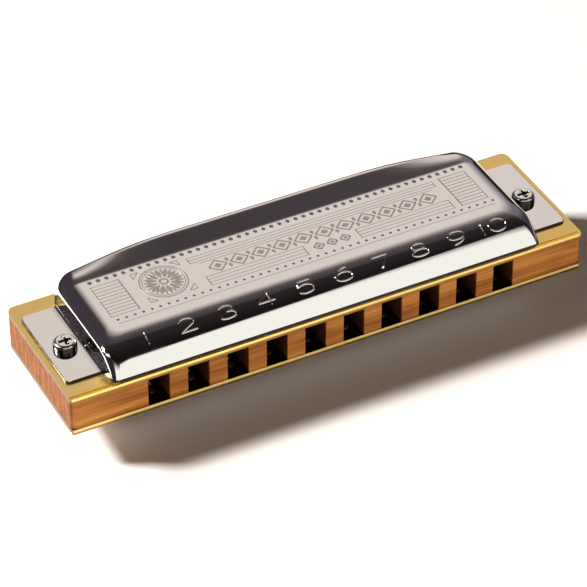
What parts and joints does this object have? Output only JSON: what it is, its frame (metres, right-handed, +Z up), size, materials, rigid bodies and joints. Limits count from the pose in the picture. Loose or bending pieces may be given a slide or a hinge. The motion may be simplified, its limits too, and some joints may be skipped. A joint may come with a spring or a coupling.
{
  "type": "diatonic harmonica",
  "caption": "Small hand-held mouth organ: a wooden comb with numbered mouth holes between brass reed plates, closed by bright pressed covers that are open at the back.",
  "frame": {"origin": "centre of the comb, which is also the centre of the whole harmonica's box", "axes": "+X along the row of holes from hole 1 to hole 10, -Y out of the mouth holes, +Y out of the open back, +Z up through the cover that carries the numbers"},
  "size_m": [0.1, 0.0274, 0.0202],
  "materials": {
    "comb_wood": "sealed fine-grained hardwood, satin",
    "plate_brass": "rolled brass sheet, satin",
    "reed_brass": "ground brass strip",
    "rivet_brass": "turned brass",
    "cover_chrome": "pressed sheet, bright plated",
    "screw_nickel": "nickel-plated steel"
  },
  "bodies": {
    "frame": {"comb": "comb_wood", "blow_reed_plate": "plate_brass", "draw_reed_plate": "plate_brass", "upper_cover": "cover_chrome", "lower_cover": "cover_chrome", "cover_screw_left": "screw_nickel", "cover_screw_right": "screw_nickel", "cover_nut_left": "screw_nickel", "cover_nut_right": "screw_nickel", "upper_plate_screws": "screw_nickel", "lower_plate_screws": "screw_nickel", "blow_reed_pads": "reed_brass", "draw_reed_pads": "reed_brass", "blow_reed_rivets": "rivet_brass", "draw_reed_rivets": "rivet_brass"},
    "blow_reed_01_tongue": {"blow_reed_01": "reed_brass"},
    "draw_reed_01_tongue": {"draw_reed_01": "reed_brass"},
    "blow_reed_02_tongue": {"blow_reed_02": "reed_brass"},
    "draw_reed_02_tongue": {"draw_reed_02": "reed_brass"},
    "blow_reed_03_tongue": {"blow_reed_03": "reed_brass"},
    "draw_reed_03_tongue": {"draw_reed_03": "reed_brass"},
    "blow_reed_04_tongue": {"blow_reed_04": "reed_brass"},
    "draw_reed_04_tongue": {"draw_reed_04": "reed_brass"},
    "blow_reed_05_tongue": {"blow_reed_05": "reed_brass"},
    "draw_reed_05_tongue": {"draw_reed_05": "reed_brass"},
    "blow_reed_06_tongue": {"blow_reed_06": "reed_brass"},
    "draw_reed_06_tongue": {"draw_reed_06": "reed_brass"},
    "blow_reed_07_tongue": {"blow_reed_07": "reed_brass"},
    "draw_reed_07_tongue": {"draw_reed_07": "reed_brass"},
    "blow_reed_08_tongue": {"blow_reed_08": "reed_brass"},
    "draw_reed_08_tongue": {"draw_reed_08": "reed_brass"},
    "blow_reed_09_tongue": {"blow_reed_09": "reed_brass"},
    "draw_reed_09_tongue": {"draw_reed_09": "reed_brass"},
    "blow_reed_10_tongue": {"blow_reed_10": "reed_brass"},
    "draw_reed_10_tongue": {"draw_reed_10": "reed_brass"}
  },
  "joints": [
    {"name": "blow_reed_01_flex", "type": "hinge", "parent": "frame", "child": "blow_reed_01_tongue", "pos_m": [-0.03375, 0.0045, 0.00278], "axis": [1, 0, 0], "range_deg": [-3, 3], "stiffness_Nm_per_rad": 0.01479},
    {"name": "blow_reed_02_flex", "type": "hinge", "parent": "frame", "child": "blow_reed_02_tongue", "pos_m": [-0.02625, 0.00369, 0.00278], "axis": [1, 0, 0], "range_deg": [-3, 3], "stiffness_Nm_per_rad": 0.01971},
    {"name": "blow_reed_03_flex", "type": "hinge", "parent": "frame", "child": "blow_reed_03_tongue", "pos_m": [-0.01875, 0.00288, 0.00278], "axis": [1, 0, 0], "range_deg": [-3, 3], "stiffness_Nm_per_rad": 0.02319},
    {"name": "blow_reed_04_flex", "type": "hinge", "parent": "frame", "child": "blow_reed_04_tongue", "pos_m": [-0.01125, 0.00207, 0.00278], "axis": [1, 0, 0], "range_deg": [-3, 3], "stiffness_Nm_per_rad": 0.03399},
    {"name": "blow_reed_05_flex", "type": "hinge", "parent": "frame", "child": "blow_reed_05_tongue", "pos_m": [-0.00375, 0.00126, 0.00278], "axis": [1, 0, 0], "range_deg": [-3, 3], "stiffness_Nm_per_rad": 0.04385},
    {"name": "blow_reed_06_flex", "type": "hinge", "parent": "frame", "child": "blow_reed_06_tongue", "pos_m": [0.00375, 0.00044, 0.00278], "axis": [1, 0, 0], "range_deg": [-3, 3], "stiffness_Nm_per_rad": 0.04969},
    {"name": "blow_reed_07_flex", "type": "hinge", "parent": "frame", "child": "blow_reed_07_tongue", "pos_m": [0.01125, -0.00037, 0.00278], "axis": [1, 0, 0], "range_deg": [-3, 3], "stiffness_Nm_per_rad": 0.06983},
    {"name": "blow_reed_08_flex", "type": "hinge", "parent": "frame", "child": "blow_reed_08_tongue", "pos_m": [0.01875, -0.00118, 0.00278], "axis": [1, 0, 0], "range_deg": [-3, 3], "stiffness_Nm_per_rad": 0.08581},
    {"name": "blow_reed_09_flex", "type": "hinge", "parent": "frame", "child": "blow_reed_09_tongue", "pos_m": [0.02625, -0.00199, 0.00278], "axis": [1, 0, 0], "range_deg": [-3, 3], "stiffness_Nm_per_rad": 0.0919},
    {"name": "blow_reed_10_flex", "type": "hinge", "parent": "frame", "child": "blow_reed_10_tongue", "pos_m": [0.03375, -0.0028, 0.00278], "axis": [1, 0, 0], "range_deg": [-3, 3], "stiffness_Nm_per_rad": 0.12079},
    {"name": "draw_reed_01_flex", "type": "hinge", "parent": "frame", "child": "draw_reed_01_tongue", "pos_m": [-0.03375, -0.0088, -0.00402], "axis": [-1, 0, 0], "range_deg": [-3, 3], "stiffness_Nm_per_rad": 0.02133},
    {"name": "draw_reed_02_flex", "type": "hinge", "parent": "frame", "child": "draw_reed_02_tongue", "pos_m": [-0.02625, -0.0088, -0.00402], "axis": [-1, 0, 0], "range_deg": [-3, 3], "stiffness_Nm_per_rad": 0.03215},
    {"name": "draw_reed_03_flex", "type": "hinge", "parent": "frame", "child": "draw_reed_03_tongue", "pos_m": [-0.01875, -0.0088, -0.00402], "axis": [-1, 0, 0], "range_deg": [-3, 3], "stiffness_Nm_per_rad": 0.04279},
    {"name": "draw_reed_04_flex", "type": "hinge", "parent": "frame", "child": "draw_reed_04_tongue", "pos_m": [-0.01125, -0.0088, -0.00402], "axis": [-1, 0, 0], "range_deg": [-3, 3], "stiffness_Nm_per_rad": 0.05026},
    {"name": "draw_reed_05_flex", "type": "hinge", "parent": "frame", "child": "draw_reed_05_tongue", "pos_m": [-0.00375, -0.0088, -0.00402], "axis": [-1, 0, 0], "range_deg": [-3, 3], "stiffness_Nm_per_rad": 0.05838},
    {"name": "draw_reed_06_flex", "type": "hinge", "parent": "frame", "child": "draw_reed_06_tongue", "pos_m": [0.00375, -0.0088, -0.00402], "axis": [-1, 0, 0], "range_deg": [-3, 3], "stiffness_Nm_per_rad": 0.07517},
    {"name": "draw_reed_07_flex", "type": "hinge", "parent": "frame", "child": "draw_reed_07_tongue", "pos_m": [0.01125, -0.0088, -0.00402], "axis": [-1, 0, 0], "range_deg": [-3, 3], "stiffness_Nm_per_rad": 0.07574},
    {"name": "draw_reed_08_flex", "type": "hinge", "parent": "frame", "child": "draw_reed_08_tongue", "pos_m": [0.01875, -0.0088, -0.00402], "axis": [-1, 0, 0], "range_deg": [-3, 3], "stiffness_Nm_per_rad": 0.08427},
    {"name": "draw_reed_09_flex", "type": "hinge", "parent": "frame", "child": "draw_reed_09_tongue", "pos_m": [0.02625, -0.0088, -0.00402], "axis": [-1, 0, 0], "range_deg": [-3, 3], "stiffness_Nm_per_rad": 0.09198},
    {"name": "draw_reed_10_flex", "type": "hinge", "parent": "frame", "child": "draw_reed_10_tongue", "pos_m": [0.03375, -0.0088, -0.00402], "axis": [-1, 0, 0], "range_deg": [-3, 3], "stiffness_Nm_per_rad": 0.11019}
  ]
}
